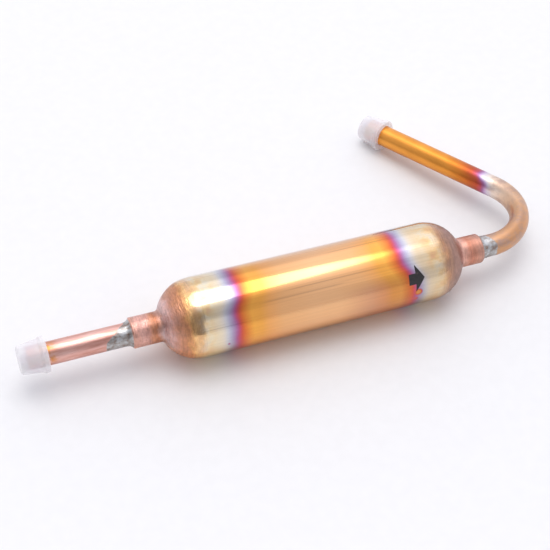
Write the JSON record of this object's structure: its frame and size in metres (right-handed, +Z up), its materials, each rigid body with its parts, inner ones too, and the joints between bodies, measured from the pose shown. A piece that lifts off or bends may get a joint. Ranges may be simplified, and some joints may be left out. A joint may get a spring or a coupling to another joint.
{
  "type": "filter drier",
  "caption": "Spun-copper refrigeration filter drier with a straight inlet stub, a bent outlet tube brazed into the necks and a pull-off cap on each tube end.",
  "frame": {"origin": "on the axis of the copper body, half way along its straight part", "axes": "+X along the flow from inlet to outlet, +Z up with the drier lying on a flat surface, the bent outlet tube on the +Y side"},
  "size_m": [0.1543, 0.0766, 0.0222],
  "materials": {
    "spun_copper": "satin",
    "copper_tube": "satin",
    "silver_braze": "satin",
    "cap_plastic": "satin",
    "pressed_steel": "satin",
    "wire_gauze": "matte",
    "felt": "matte",
    "molecular_sieve": "matte"
  },
  "bodies": {
    "drier": {"spun_shell": "spun_copper", "inlet_tube": "copper_tube", "outlet_tube": "copper_tube", "inlet_braze": "silver_braze", "outlet_braze": "silver_braze", "inlet_screen_ring": "pressed_steel", "inlet_screen": "wire_gauze", "inlet_pad": "felt", "desiccant_beads": "molecular_sieve", "outlet_pad": "felt", "outlet_screen_ring": "pressed_steel", "outlet_strainer": "wire_gauze"},
    "inlet_end_cap": {"inlet_cap": "cap_plastic"},
    "outlet_end_cap": {"outlet_cap": "cap_plastic"}
  },
  "joints": [
    {"name": "inlet_cap_pull", "type": "slide", "parent": "drier", "child": "inlet_end_cap", "axis": [-1, 0, 0], "range_m": [0, 0.04]},
    {"name": "outlet_cap_pull", "type": "slide", "parent": "drier", "child": "outlet_end_cap", "axis": [-0.521, 0.8487, -0.0904], "range_m": [0, 0.04]}
  ]
}
